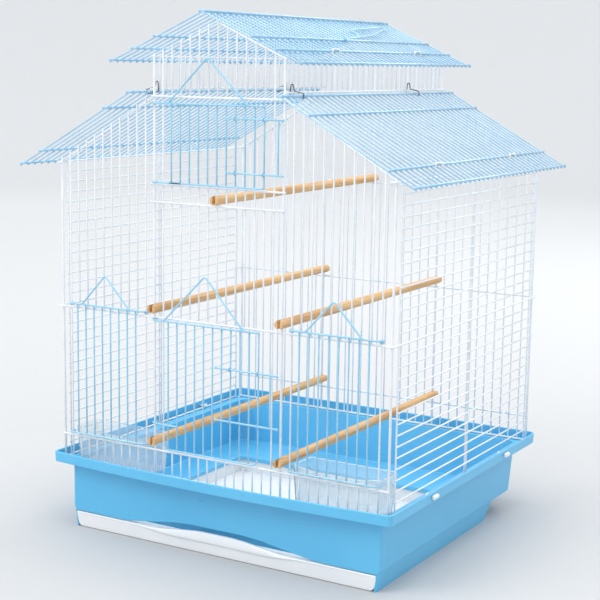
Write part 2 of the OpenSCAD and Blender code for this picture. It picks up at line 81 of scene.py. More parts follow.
TUB_H = 96.0
LOW_RAIL_Z = 118.5
MID_RAIL_Z = 279.0
PERCH_RAIL_Z = 414.5
SILL_Z = 435.0
EAVE_Z = 454.0
ATTIC_Z = 535.5
ATTIC_EAVE_Z = 579.0
RIDGE_Z = 629.0

BAY = 11
MIDDLE_GAPS = 14
DEPTH_GAPS = 32
LAST = 2 * BAY + MIDDLE_GAPS
POSTS = (0, BAY, LAST - BAY, LAST)
CAGE_W = LAST * PITCH
POST_X = MIDDLE_GAPS / 2 * PITCH
RAIL_HALF = CAGE_W / 2 + 1.5
BAY_RAIL_HALF = POST_X + 3
ROOF_FRONT = 32.0
RIM_OUT = 12.0
RIM_H = 13.0
RIM_BOW = 10.0
WALL = 2.5
PLINTH_H = 24.0
FRONT_Y = (ROOF_FRONT - RIM_OUT - DEPTH_GAPS * PITCH) / 2
BACK_Y = FRONT_Y + DEPTH_GAPS * PITCH
LEDGE_Z = TUB_H - RIM_H + WALL
WIRE_BOTTOM = LEDGE_Z + GAP
BOTTOM_RAIL_Z = LEDGE_Z + GAP + RAIL_R

RAIL_DY = WIRE_R + RAIL_R - WELD
DOOR_DY = RAIL_DY + RAIL_R + GAP + WIRE_R
BAR_DY = DOOR_DY + WIRE_R + BENT_R - WELD
LATCH_DY = DOOR_DY + WIRE_R + GAP + BENT_R

LOW_RISE = (ATTIC_Z - EAVE_Z) / (CAGE_W / 2 - POST_X)
LOW_ROOF_RISE = 0.5525
UP_RISE = 0.438
LOW_BARS = [102.0, 136.0, 232.0, 261.5]
UP_BARS = [2.6, 64.0, 95.0, 125.5]
LOW_TOP_Z = RIDGE_Z - 90.5
ROOF_TIP = 1.6
ROOF_Y0 = FRONT_Y - ROOF_FRONT + WIRE_R
ROOF_GAPS = 35
ROOF_PITCH = (BACK_Y - ROOF_Y0) / ROOF_GAPS
SLOPE_R = WIRE_R * 0.9
# where staples and rings hold the roofs, counted in roof wires and in pitches from the front
LOW_STAPLES = (9, 26)
HIGH_STAPLES = (10, 27)
RINGS = (0.74, 23.48)

SIDE_X = CAGE_W / 2 + 1.5
ATTIC_WALL_X = POST_X + POST_R + RAIL_R + GAP
ATTIC_FOOT_Z = ATTIC_Z + 7.7
ATTIC_TOP_Z = ATTIC_EAVE_Z + 1


def wire_x(k):
    return -CAGE_W / 2 + k * PITCH


def gable_z(x):
    """Height of the gable wires of the front and back walls at x."""
    x = abs(x)
    if x > POST_X + 0.01:
        return EAVE_Z + (CAGE_W / 2 - x) * LOW_RISE
    return ATTIC_EAVE_Z + (POST_X - x) * UP_RISE


def low_roof_z(x):
    return LOW_TOP_Z - (abs(x) - LOW_BARS[0]) * LOW_ROOF_RISE


def up_roof_z(x):
    return RIDGE_Z - abs(x) * UP_RISE


def smooth(t):
    t = min(1.0, max(0.0, t))
    return t * t * (3 - 2 * t)


# ---------------------------------------------------------------- mesh helpers


def linked_object(name, bm):
    """Puts a bmesh into the scene as a smooth-shaded object."""
    mesh = bpy.data.meshes.new(name)
    for face in bm.faces:
        face.smooth = True
    bm.to_mesh(mesh)
    bm.free()
    obj = bpy.data.objects.new(name, mesh)
    bpy.context.scene.collection.objects.link(obj)
    return obj


def to_metres(bm):
    bmesh.ops.scale(bm, vec=(MM, MM, MM), verts=bm.verts)
    bmesh.ops.recalc_face_normals(bm, faces=bm.faces)


def new_object(name, bm, material, body, replaces=(), sharp_deg=WIRE_SHARP):
    """Turns a bmesh in millimetres into a shaded piece that rides on a body."""
    to_metres(bm)
    obj = linked_object(name, bm)
    obj.data.set_sharp_from_angle(angle=math.radians(sharp_deg))
    obj.data.materials.append(material)
    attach(obj, body)
    if replaces:
        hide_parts(*replaces)
    return obj


def rounded_path(points, radius):
    """The same path with each bend turned into a short arc."""
    if len(points) < 3 or radius <= 0:
        return [Vector(p) for p in points]
    points = [Vector(p) for p in points]
    path = [points[0]]
    for before, here, after in zip(points, points[1:], points[2:]):
        reach_in = min(radius, (before - here).length * BEND_SHARE)
        reach_out = min(radius, (after - here).length * BEND_SHARE)
        start = here + (before - here).normalized() * reach_in
        end = here + (after - here).normalized() * reach_out
        for i in range(BEND_STEPS + 1):
            t = i / BEND_STEPS
            path.append(start * (1 - t) ** 2 + here * 2 * t * (1 - t) + end * t * t)
    path.append(points[-1])
    return path


def add_tube(bm, points, r, bend=3.0, sides=TUBE_SIDES):
    """A round wire along a path, with domed ends."""
    path = rounded_path(points, bend)
    count = len(path)
    tangents = []
    for i in range(count):
        a = path[max(i - 1, 0)]
        b = path[min(i + 1, count - 1)]
        tangents.append((b - a).normalized())
    side = tangents[0].orthogonal().normalized()

    def ring(centre, tangent, radius):
        nonlocal side
        side = (side - tangent * side.dot(tangent)).normalized()
        up = tangent.cross(side)
        made = []
        for j in range(sides):
            a = 2 * math.pi * j / sides
            made.append(bm.verts.new(centre + (side * math.cos(a) + up * math.sin(a)) * radius))
        return made

    rings = [ring(p, t, r) for p, t in zip(path, tangents)]
    for lower, upper in zip(rings, rings[1:]):
        for j in range(sides):
            bm.faces.new((lower[j], lower[(j + 1) % sides], upper[(j + 1) % sides], upper[j]))
    for end, out in ((rings[0], -tangents[0]), (rings[-1], tangents[-1])):
        centre = path[0] if end is rings[0] else path[-1]
        last = end
        for push, shrink in DOME:
            step = []
            for v in end:
                step.append(bm.verts.new(centre + out * r * push + (v.co - centre) * shrink))
            for j in range(sides):
                bm.faces.new((last[j], last[(j + 1) % sides], step[(j + 1) % sides], step[j]))
            last = step
        bm.faces.new(last)


def add_ball(bm, centre, r):
    made = bmesh.ops.create_uvsphere(bm, u_segments=12, v_segments=8, radius=r)
    bmesh.ops.translate(bm, vec=Vector(centre), verts=made["verts"])


def add_coil(bm, centre, axis, r, turns, wire, rise):
    """A bit of wire wrapped round an axis, as a hinge loop. rise is how far each turn climbs."""
    axis = Vector(axis).normalized()
    side = axis.orthogonal().normalized()
    up = axis.cross(side)
    count = int(turns * COIL_STEPS)
    points = []
    for i in range(count + 1):
        a = 2 * math.pi * turns * i / count
        height = (i / count - 0.5) * rise * turns
        points.append(Vector(centre) + (side * math.cos(a) + up * math.sin(a)) * r + axis * height)
    add_tube(bm, points, wire, bend=0, sides=COIL_SIDES)


def flip_left(bm):
    """Turns a piece made for the right side into its twin on the left."""
    bmesh.ops.scale(bm, vec=(-1, 1, 1), verts=bm.verts)
    bmesh.ops.reverse_faces(bm, faces=bm.faces)


def arc(cx, cy, r, a0, a1, n):
    turn = [math.radians(a0 + (a1 - a0) * i / n) for i in range(n + 1)]
    return [(cx + r * math.cos(a), cy + r * math.sin(a)) for a in turn]


def plan(hx, y0, y1, rf, rb, bow=0.0, n=8):
    """Outline of a box with rounded corners, seen from above, whose front edge may bulge out by bow."""
    points = arc(hx - rb, y1 - rb, rb, 0, 90, n) + arc(-hx + rb, y1 - rb, rb, 90, 180, n)
    points += arc(-hx + rf, y0 + rf, rf, 180, 270, n)
    for i in range(1 - BOW_STEPS, BOW_STEPS):
        points.append(((hx - rf) * i / BOW_STEPS, y0 - bow * (1 - i * i / BOW_STEPS ** 2)))
    return points + arc(hx - rf, y0 + rf, rf, 270, 360, n)


def softened(profile, radius, closed):
    """Rounds the corners of a profile of (hx, y0, y1, rf, rb, z, bow) rings."""
    count = len(profile)
    out = []
    for i, here in enumerate(profile):
        if not closed and i in (0, count - 1):
            out.append(here)
            continue
        before = profile[i - 1]
        after = profile[(i + 1) % count]

        def towards(other):
            d = math.hypot(other[0] - here[0], other[5] - here[5])
            d = max(d, abs(other[1] - here[1]), 1e-6)
            t = min(radius / d, SOFT_SHARE)
            return [a + (b - a) * t for a, b in zip(here, other)]

        start, end = towards(before), towards(after)
        for s in range(SOFT_STEPS + 1):
            t = s / SOFT_STEPS
            out.append([a * (1 - t) ** 2 + h * 2 * t * (1 - t) + b * t * t
                        for a, h, b in zip(start, here, end)])
    return out


def loft(bm, profile, closed=False, cap_start=False, cap_end=False, shift=None, n=8):
    """Skins a stack of rounded-box outlines, one per (hx, y0, y1, rf, rb, z) or (..., z, bow) ring.

    shift(x, z) may move each height. The rings of vertices are returned.
    """
    rings = []
    for hx, y0, y1, rf, rb, z, *bow in profile:
        ring = []
        for x, y in plan(hx, y0, y1, rf, rb, bow[0] if bow else 0.0, n):
            height = z + (shift(x, z) if shift else 0.0)
            ring.append(bm.verts.new((x, y, height)))
        rings.append(ring)
    pairs = list(zip(rings, rings[1:]))
    if closed:
        pairs.append((rings[-1], rings[0]))
    for lower, upper in pairs:
        for j in range(len(lower)):
            k = (j + 1) % len(lower)
            bm.faces.new((lower[j], lower[k], upper[k], upper[j]))
    if cap_start:
        bm.faces.new(list(reversed(rings[0])))
    if cap_end:
        bm.faces.new(rings[-1])
    return rings


def slab(bm, outline, y0, y1):
    """An outline of (x, z) points drawn out along Y."""
    front = [bm.verts.new((x, y0, z)) for x, z in outline]
    back = [bm.verts.new((x, y1, z)) for x, z in outline]
    bm.faces.new(front)
    bm.faces.new(list(reversed(back)))
    for i in range(len(outline)):
        j = (i + 1) % len(outline)
        bm.faces.new((front[j], front[i], back[i], back[j]))


def cut(obj, bm):
    """Cuts a bmesh in millimetres out of a piece."""
    to_metres(bm)
    cutter = linked_object("cutter", bm)
    modifier = obj.modifiers.new("cut", "BOOLEAN")
    modifier.object = cutter
    modifier.solver = "EXACT"
    graph = bpy.context.evaluated_depsgraph_get()
    result = bpy.data.meshes.new_from_object(obj.evaluated_get(graph))
    obj.modifiers.clear()
    obj.data = result
    bpy.data.objects.remove(cutter)
    for face in obj.data.polygons:
        face.use_smooth = True
    obj.data.set_sharp_from_angle(angle=math.radians(CUT_SHARP))


def even_shading(obj):
    """Keeps the big flat faces of a moulding flat where they meet its rounded edges."""
    modifier = obj.modifiers.new("even shading", "WEIGHTED_NORMAL")
    modifier.keep_sharp = True


# ---------------------------------------------------------------- materials


def shader(name):
    """A new material with nothing but its surface shader and output."""
    material = bpy.data.materials.new(name)
    material.use_nodes = True
    nodes = material.node_tree.nodes
    nodes.clear()
    output = nodes.new("ShaderNodeOutputMaterial")
    surface = nodes.new("ShaderNodeBsdfPrincipled")
    material.node_tree.links.new(surface.outputs[0], output.inputs[0])
    return material, nodes, material.node_tree.links, surface


def object_noise(nodes, links, scale, detail=3.0, stretch=(1, 1, 1), rough=0.55):
    """Noise that is fixed to the object, stretched along its axes."""
    place = nodes.new("ShaderNodeTexCoord")
    mapping = nodes.new("ShaderNodeMapping")
    mapping.inputs["Scale"].default_value = stretch
    links.new(place.outputs["Object"], mapping.inputs["Vector"])
    tex = nodes.new("ShaderNodeTexNoise")
    tex.inputs["Scale"].default_value = scale
    tex.inputs["Detail"].default_value = detail
    tex.inputs["Roughness"].default_value = rough
    links.new(mapping.outputs[0], tex.inputs["Vector"])
    return tex


def ramp(nodes, links, value, stops):
    """Turns a value into a colour between (position, colour) stops."""
    node = nodes.new("ShaderNodeValToRGB")
    first, last = node.color_ramp.elements
    first.position, first.color = stops[0][0], (*stops[0][1], 1)
    last.position, last.color = stops[-1][0], (*stops[-1][1], 1)
    for position, colour in stops[1:-1]:
        node.color_ramp.elements.new(position).color = (*colour, 1)
    links.new(value, node.inputs[0])
    return node


def bumps(nodes, links, surface, height, strength, distance):
    node = nodes.new("ShaderNodeBump")
    node.inputs["Strength"].default_value = strength
    node.inputs["Distance"].default_value = distance
    links.new(height, node.inputs["Height"])
    links.new(node.outputs[0], surface.inputs["Normal"])


def roughness(nodes, links, surface, value, low, high):
    """Lets a value from 0 to 1 drive the gloss between two limits."""
    node = nodes.new("ShaderNodeMapRange")
    node.inputs["To Min"].default_value = low
    node.inputs["To Max"].default_value = high
    links.new(value, node.inputs["Value"])
    links.new(node.outputs[0], surface.inputs["Roughness"])


def coated_wire(name, dark, light):
    """Wire with a baked coating: glossy, a little uneven, thicker in places."""
    material, nodes, links, surface = shader(name)
    tint = object_noise(nodes, links, 35.0)
    colour = ramp(nodes, links, tint.outputs["Fac"], [(0.3, dark), (0.62, light)])
    links.new(colour.outputs[0], surface.inputs["Base Color"])
    runs = object_noise(nodes, links, 420.0, detail=2.0)
    roughness(nodes, links, surface, runs.outputs["Fac"], 0.2, 0.36)
    bumps(nodes, links, surface, runs.outputs["Fac"], 0.25, 0.0003)
    surface.inputs["Coat Weight"].default_value = 0.35
    surface.inputs["Coat Roughness"].default_value = 0.12
    return material


def moulded(name, dark, light):
    """Injection-moulded plastic: an even colour, a faint grain and fine scuffs."""
    material, nodes, links, surface = shader(name)
    tint = object_noise(nodes, links, 6.0, detail=4.0)
    colour = ramp(nodes, links, tint.outputs["Fac"], [(0.3, dark), (0.7, light)])
    links.new(colour.outputs[0], surface.inputs["Base Color"])
    grain = object_noise(nodes, links, 900.0, detail=2.0)
    scuff = object_noise(nodes, links, 60.0, detail=6.0, stretch=(1, 1, 4), rough=0.7)
    roughness(nodes, links, surface, scuff.outputs["Fac"], 0.22, 0.38)
    bumps(nodes, links, surface, grain.outputs["Fac"], 0.12, 0.0002)
    surface.inputs["Subsurface Weight"].default_value = 0.1
    surface.inputs["Subsurface Radius"].default_value = (0.004, 0.005, 0.006)
    surface.inputs["Coat Weight"].default_value = 0.15
    return material


def clear_plastic():
    """Thin clear plastic with a slight cold tint, and a soft swirl in its gloss."""
    material, nodes, links, surface = shader("clear_plastic")
    surface.inputs["Base Color"].default_value = (0.94, 0.98, 1.0, 1)
    surface.inputs["Transmission Weight"].default_value = 0.8
    surface.inputs["IOR"].default_value = 1.15
    swirl = object_noise(nodes, links, 45.0, detail=3.0)
    roughness(nodes, links, surface, swirl.outputs["Fac"], 0.02, 0.09)
    bumps(nodes, links, surface, swirl.outputs["Fac"], 0.06, 0.0005)
    return material


def dowel_wood():
    """Pale dowel with its grain along Y and broad darker bands."""
    material, nodes, links, surface = shader("dowel_wood")
    grain = object_noise(nodes, links, 220.0, detail=5.0, stretch=(1, 0.045, 1), rough=0.62)
    bands = object_noise(nodes, links, 30.0, detail=2.0, stretch=(1, 0.3, 1))
    blend = nodes.new("ShaderNodeMix")
    blend.inputs[0].default_value = 0.35
    links.new(grain.outputs["Fac"], blend.inputs[2])
    links.new(bands.outputs["Fac"], blend.inputs[3])
    colour = ramp(nodes, links, blend.outputs[0], [
        (0.32, (0.42, 0.21, 0.075)), (0.47, (0.66, 0.38, 0.16)), (0.6, (0.78, 0.50, 0.25))
    ])
    links.new(colour.outputs[0], surface.inputs["Base Color"])
    roughness(nodes, links, surface, grain.outputs["Fac"], 0.5, 0.75)
    bumps(nodes, links, surface, grain.outputs["Fac"], 0.35, 0.0004)
    return material


def dark_steel():
    """Bare dark wire with a spotty sheen."""
    material, nodes, links, surface = shader("dark_steel")
    spots = object_noise(nodes, links, 260.0, detail=4.0)
    colour = ramp(nodes, links, spots.outputs["Fac"], [
        (0.35, (0.10, 0.10, 0.11)), (0.7, (0.27, 0.27, 0.29))
    ])
    links.new(colour.outputs[0], surface.inputs["Base Color"])
    surface.inputs["Metallic"].default_value = 0.9
    roughness(nodes, links, surface, spots.outputs["Fac"], 0.32, 0.5)
    return material


WHITE = coated_wire("white_coated_wire", (0.74, 0.78, 0.82), (0.84, 0.87, 0.90))
SKY = coated_wire("blue_coated_wire", (0.26, 0.54, 0.73), (0.35, 0.63, 0.80))
ROOF = coated_wire("roof_coated_wire", (0.27, 0.52, 0.72), (0.37, 0.62, 0.81))
TUB = moulded("blue_moulding", (0.10, 0.48, 0.79), (0.13, 0.53, 0.83))
DRAWER = moulded("white_moulding", (0.83, 0.85, 0.87), (0.88, 0.90, 0.92))
CLIP = moulded("clip_moulding", (0.84, 0.86, 0.88), (0.90, 0.92, 0.93))
CLEAR = clear_plastic()
WOOD = dowel_wood()
STEEL = dark_steel()

# ---------------------------------------------------------------- wire walls


def wall_gable(bm, y, towards):
    """The bent gable wires of a wall, and the rail across the attic's foot.

    towards is 1 where the rail lies in front of the wires and -1 where it lies behind them.
    """
    for m in (-1, 1):
        add_tube(bm, [
            (m * (CAGE_W / 2 + 1), y, EAVE_Z - LOW_RISE), (m * (POST_X - 2), y, ATTIC_Z + 2 * LOW_RISE)
        ], RAIL_R)
    add_tube(bm, [
        (-POST_X - 2, y, ATTIC_EAVE_Z - 2 * UP_RISE), (0, y, ATTIC_EAVE_Z + POST_X * UP_RISE),
        (POST_X + 2, y, ATTIC_EAVE_Z - 2 * UP_RISE)
    ], RAIL_R, bend=6)
    rail(bm, y - 2 * towards * RAIL_DY, ATTIC_Z, BAY_RAIL_HALF)


def rail(bm, y, z, half, r=RAIL_R):
    add_tube(bm, [(-half, y, z), (half, y, z)], r)


def upright(bm, k, y, z0, z1, r=WIRE_R):
    add_tube(bm, [(wire_x(k), y, z0), (wire_x(k), y, z1)], r)


def front_panel():
    """The front wall: uprights that leave the doorways open, and the rails between them."""
    bm = bmesh.new()
    for k in range(LAST + 1):
        top = gable_z(wire_x(k)) + POKE
        in_feeder = 1 < k < BAY - 1 or LAST - BAY + 1 < k < LAST - 1
        in_doorway = BAY + 1 < k < LAST - BAY - 1
        if in_feeder or in_doorway:
            upright(bm, k, FRONT_Y, WIRE_BOTTOM, LOW_RAIL_Z + 1)
        if in_feeder:
            upright(bm, k, FRONT_Y, MID_RAIL_Z - 1, top)
        elif in_doorway:
            upright(bm, k, FRONT_Y, MID_RAIL_Z - 1, SILL_Z + 1)
            upright(bm, k, FRONT_Y, ATTIC_Z - 1, top)
        else:
            upright(bm, k, FRONT_Y, WIRE_BOTTOM, top, POST_R if k in POSTS else WIRE_R)
    wall_gable(bm, FRONT_Y + RAIL_DY, 1)
    rail(bm, FRONT_Y + RAIL_DY, BOTTOM_RAIL_Z, RAIL_HALF)
    for z in (LOW_RAIL_Z, MID_RAIL_Z):
        rail(bm, FRONT_Y - RAIL_DY, z, RAIL_HALF)
    for z in (PERCH_RAIL_Z, SILL_Z):
        rail(bm, FRONT_Y - RAIL_DY, z, BAY_RAIL_HALF)
    new_object("front_wall", bm, WHITE, "cage", ["front_panel"])


def back_panel():
    bm = bmesh.new()
    for k in range(LAST + 1):
        top = gable_z(wire_x(k)) + POKE
        upright(bm, k, BACK_Y, WIRE_BOTTOM, top, POST_R if k in POSTS else WIRE_R)
    wall_gable(bm, BACK_Y - RAIL_DY, -1)
    rail(bm, BACK_Y - RAIL_DY, BOTTOM_RAIL_Z, RAIL_HALF)
    for z in (LOW_RAIL_Z, MID_RAIL_Z):
        rail(bm, BACK_Y + RAIL_DY, z, RAIL_HALF)
    rail(bm, BACK_Y + RAIL_DY, PERCH_RAIL_Z, BAY_RAIL_HALF)
    new_object("back_wall", bm, WHITE, "cage", ["back_panel"])


def side_panel(name, node, left):
    """A side wall: level rows on four uprights, and two rails that hook round the corners."""
    bm = bmesh.new()
    rows = 14
    over = 1.5
    y0 = FRONT_Y + PITCH
    y1 = BACK_Y - PITCH
    row_x = SIDE_X + WIRE_R * 2 - WELD
    for k in range(-rows, rows):
        if k != 0:
            z = MID_RAIL_Z + k * PITCH
            add_tube(bm, [(row_x, y0 - over, z), (row_x, y1 + over, z)], WIRE_R * 0.95)
    add_tube(bm, [(row_x, y0 - over, BOTTOM_RAIL_Z), (row_x, y1 + over, BOTTOM_RAIL_Z)], RAIL_R)
    x = SIDE_X + RAIL_DY
    hook = 2 * RAIL_DY + GAP + RAIL_R
    hook_x = x - 8
    for z in (MID_RAIL_Z, EAVE_Z):
        add_tube(bm, [
            (hook_x, FRONT_Y - hook, z), (x, FRONT_Y - hook, z),
            (x, BACK_Y + hook, z), (hook_x, BACK_Y + hook, z)
        ], RAIL_R)
    middle = (y0 + y1) / 2
    half_pair = 2.2
    for y in (y0, middle - half_pair, middle + half_pair, y1):
        add_tube(bm, [(SIDE_X, y, WIRE_BOTTOM), (SIDE_X, y, EAVE_Z + 2)], WIRE_R)
    if left:
        flip_left(bm)
    new_object(name, bm, WHITE, "cage", [node])


def attic_wall(name, node, left):
    bm = bmesh.new()
    for z in (ATTIC_FOOT_Z, ATTIC_TOP_Z):
        add_tube(bm, [(ATTIC_WALL_X, FRONT_Y - 3, z), (ATTIC_WALL_X, BACK_Y + 3, z)], RAIL_R)
    x = ATTIC_WALL_X - WIRE_R - RAIL_R + WELD
    for k in range(1, DEPTH_GAPS):
        y = FRONT_Y + k * PITCH
        add_tube(bm, [(x, y, ATTIC_FOOT_Z - 2), (x, y, ATTIC_TOP_Z + 2)], WIRE_R)
    if left:
        flip_left(bm)
    new_object(name, bm, WHITE, "cage", [node])


# ---------------------------------------------------------------- roofs


def bar_at(x, z, rise):
    """Where a crossbar lies, above a slope that is at height z at x."""
    a = math.atan(rise)
    up = SLOPE_R + BAR_R - WELD
    return x + up * math.sin(a), z + up * math.cos(a)


def roof_panel(name, node, x0, x1, height, rise, bars, left):
    """Sloping wires from x0 out to x1, with the crossbars on top of them."""
    bm = bmesh.new()
    for k in range(ROOF_GAPS + 1):
        y = ROOF_Y0 + k * ROOF_PITCH
        add_tube(bm, [(x0, y, height(x0)), (x1, y, height(x1))], SLOPE_R)
    for x in bars:
        bx, bz = bar_at(x, height(x), rise)
        add_tube(bm, [(bx, ROOF_Y0 - WIRE_R, bz), (bx, BACK_Y + WIRE_R, bz)], BAR_R)
    if left:
        flip_left(bm)
    new_object(name, bm, ROOF, "cage", [node])


def staple(bm, a, b, y, tuck, m):
    """A wire U on side m whose ends tuck under the wall's rail at a and whose crown lies on the bar at b."""
    half_width = 8
    foot_z = a[1] - 2.6
    crown_x, crown_z = b[0] + 2, b[1] + 2
    for s in (-1, 1):
        yy = y + s * half_width
        add_tube(bm, [
            (m * (a[0] + tuck), yy, foot_z), (m * (a[0] + 2.7), yy, foot_z),
            (m * (b[0] + 3), yy, b[1]), (m * crown_x, yy, crown_z), (m * crown_x, y, crown_z)
        ], STAPLE_R, bend=1.6)


def roof_staples():
    bm = bmesh.new()
    low = bar_at(LOW_BARS[2], low_roof_z(LOW_BARS[2]), LOW_ROOF_RISE)
    high = bar_at(UP_BARS[2], up_roof_z(UP_BARS[2]), UP_RISE)
    for m in (-1, 1):
        for k in LOW_STAPLES:
            staple(bm, (SIDE_X + RAIL_DY, EAVE_Z), low, ROOF_Y0 + k * ROOF_PITCH, -2, m)
        for k in HIGH_STAPLES:
            staple(bm, (ATTIC_WALL_X, ATTIC_TOP_Z), high, ROOF_Y0 + k * ROOF_PITCH, 0.3, m)
    new_object("roof_staple_wires", bm, WHITE, "cage", ["roof_staples"])


def roof_rings():
    """Bent wire rings round the attic walls' lower rails and the lower roofs' top bars."""
    bm = bmesh.new()
    a = (ATTIC_WALL_X, ATTIC_FOOT_Z)
    b = bar_at(LOW_BARS[0], low_roof_z(LOW_BARS[0]), LOW_ROOF_RISE)
    crest = 9
    loop = [
        (a[0], a[1] + crest), (a[0] - 1.4, a[1] + crest), (a[0] - 2.5, a[1] - 2.5), (b[0] + 2.6, b[1] - 3.1),
        (b[0] + 2.6, b[1] + 2.6), (a[0] + 2.6, a[1] + 2), (a[0] + 1.4, a[1] + crest), (a[0], a[1] + crest)
    ]
    for m in (-1, 1):
        for k in RINGS:
            y = FRONT_Y + k * PITCH
            add_tube(bm, [(m * x, y, z) for x, z in loop], RING_R, bend=1.3)
    new_object("roof_ring_wires", bm, STEEL, "cage", ["roof_rings"])


def carry_handle():
    """A flat wire handle that lies on the upper roof, coiled round a crossbar at one end."""
    bm = bmesh.new()
    a = math.atan(UP_RISE)
    lift = 2.5
    eye_y = ROOF_Y0 + 16.5 * ROOF_PITCH

    def on_slope(x, y):
        return x + lift * math.sin(a), y, up_roof_z(x) + lift * math.cos(a)

    add_tube(bm, [
        on_slope(UP_BARS[1] - 1.9, eye_y), on_slope(58, eye_y + 30), on_slope(47, 85), on_slope(25, 158),
        on_slope(22, 166), on_slope(19, 158), on_slope(34, 48), on_slope(45, 49), on_slope(57, 27)
    ], BENT_R, bend=4)
    bx, bz = bar_at(UP_BARS[1], up_roof_z(UP_BARS[1]), UP_RISE)
    add_coil(bm, (bx, eye_y, bz), (0, 1, 0), BAR_R + GAP + 0.8, turns=1.6, wire=0.8, rise=1.7)
    new_object("carry_handle_wire", bm, SKY, "handle", ["carry_handle"])


# ---------------------------------------------------------------- doors

DOOR_HALF = 62.5
DOOR_WIRES = 11
FEEDER_WIRES = 8
LATCH_EYES = (20, 23)
LOWER_LATCH_Z = (169, 230)
UPPER_LATCH_Z = (453.5, 513.7)


def bay_door(name, node, body, z0, z1, eye0, latch_z, foot, apex, dx, corner):
    """A door of eleven wires between its rails at z0 and z1.

    Its hinge loops are at eye0 and z1, and its latch's eyes at latch_z. Its V handle stands on z1 from
    foot to foot, with its tip at apex. dx sets the frame off to one side of the bay, and corner is the
    cut of its free lower corner.
    """
    bm = bmesh.new()
    y = FRONT_Y - BAR_DY
    left = dx - DOOR_HALF
    right = dx + DOOR_HALF
    hook_x = wire_x(BAY)
    bar_x = hook_x + 7
    over = 1.5
    for k in range(DOOR_WIRES):
        x = left + k * PITCH
        low = z0 + corner - over if k == DOOR_WIRES - 1 else z0 - 0.6
        add_tube(bm, [(x, FRONT_Y - DOOR_DY, low), (x, FRONT_Y - DOOR_DY, z1 + 1.2)], WIRE_R)
    add_tube(bm, [(bar_x, y, z1), (right + over, y, z1)], BENT_R)
    add_tube(bm, [
        (left - over, y, z0), (right - corner, y, z0), (right - corner * 0.28, y, z0 + corner * 0.28),
        (right, y, z0 + corner)
    ], BENT_R, bend=min(3.0, corner * 0.5))
    add_tube(bm, [(bar_x, y, eye0), (left + PITCH + over, y, eye0)], BENT_R)
    for z in (eye0, z1):
        add_coil(bm, (hook_x, FRONT_Y, z), (0, 0, 1), POST_R + GAP + 0.85,
                 turns=1.25, wire=0.8, rise=1.2)
        add_tube(bm, [
            (hook_x - 0.6, FRONT_Y - POST_R - GAP - 1.1, z), (hook_x + 3, FRONT_Y - BAR_DY + 0.4, z),
            (hook_x + 8.4, y, z)
        ], BENT_R * 0.9, bend=2)
    add_tube(bm, [
        (foot[0], y, z1), (foot[0] + 3.5, y, z1 + 1.6), (apex[0], y, apex[1]), (foot[1] - 3.5, y, z1 + 1.6),
        (foot[1], y, z1)
    ], BENT_R, bend=4)
    for z in latch_z:
        for k in LATCH_EYES:
            centre = (wire_x(k) + dx, FRONT_Y - LATCH_DY, z)
            add_coil(bm, centre, (1, 0, 0), BENT_R + GAP + 0.6, turns=1.0, wire=0.55, rise=0.3)
    new_object(name, bm, SKY, body, [node])


def bay_latch(name, node, body, latch_z, start_x, grip_x, end_x):
    """Two sliding rods with a knob at each end, joined by a grip."""
    bm = bmesh.new()
    y = FRONT_Y - LATCH_DY
    for z in latch_z:
        add_tube(bm, [(start_x, y, z), (end_x, y, z)], BENT_R)
        add_ball(bm, (start_x, y, z), 1.45)
        add_ball(bm, (end_x, y, z), 1.7)
    add_tube(bm, [(grip_x, y, latch_z[0] - 0.6), (grip_x, y, latch_z[1] + 0.6)], BENT_R * 0.95)
    new_object(name, bm, SKY, body, [node])


def feeder_door(name, node, body, centre):
    """A door of eight wires whose rails end in loops round the two guide wires."""
    bm = bmesh.new()
    y = FRONT_Y - BAR_DY
    bottom = LOW_RAIL_Z + RAIL_R + GAP + 2.9
    top = MID_RAIL_Z + 5
    guide = 4.5 * PITCH
    for i in range(FEEDER_WIRES):
        x = centre + (i - (FEEDER_WIRES - 1) / 2) * PITCH
        add_tube(bm, [(x, FRONT_Y - DOOR_DY, bottom - 0.6), (x, FRONT_Y - DOOR_DY, top + 0.6)], WIRE_R)
    for z in (bottom, top):
        add_tube(bm, [(centre - guide + 5, y, z), (centre + guide - 5, y, z)], BENT_R)
        loops = 1.3 if z == bottom else 2.3
        height = z if z == bottom else MID_RAIL_Z + RAIL_R + GAP + 2.2
        for m in (-1, 1):
            add_coil(bm, (centre + m * guide, FRONT_Y, height), (0, 0, 1), WIRE_R + GAP + 0.8,
                     turns=loops, wire=0.75, rise=1.5)
            add_tube(bm, [
                (centre + m * (guide + 0.6), FRONT_Y - WIRE_R - GAP - 1.1, z),
                (centre + m * (guide - 2), FRONT_Y - BAR_DY + 0.4, z), (centre + m * (guide - 6.4), y, z)
            ], BENT_R * 0.9, bend=2)
    foot, knee, apex_z = 37, 34, 322
    add_tube(bm, [
        (centre - foot, y, top), (centre - knee, y, top + 1.8), (centre, y, apex_z),
        (centre + knee, y, top + 1.8), (centre + foot, y, top)
    ], BENT_R, bend=4)
    new_object(name, bm, SKY, body, [node])


# ---------------------------------------------------------------- tub, drawer, cups

RIM_X = CAGE_W / 2 + 10
BODY_X = 216.5
BODY_Y0 = FRONT_Y + 3
TUB_BACK_FOOT = 193
HOUSING_X = (211.0, 215.5)
HOUSING_BACK = (126.0, 140.0)
MOUTH_X = (208.0, 211.5)
MOUTH_SIDE_Z = 20.5
POCKET = 9.0
DRAWER_HALF = 210.5
LITTER_HALF = 163.0
LITTER_BACK = 115.0


def mouth_z(x):
    """Height of the upper edge of the drawer's mouth at x."""
    return MOUTH_SIDE_Z + 12.5 * smooth((150 - abs(x)) / 120)


def drawer_z(x):
    """Height of the top edge of the drawer's front at x."""
    return 19.3 + 6.9 * smooth((100 - abs(x)) / 85)


def crease_z(x):
    """Height of the crease under the lip of the drawer's front at x."""
    return 13.5 + (drawer_z(x) - 15.5) * (1 - smooth((125 - abs(x)) / 60))


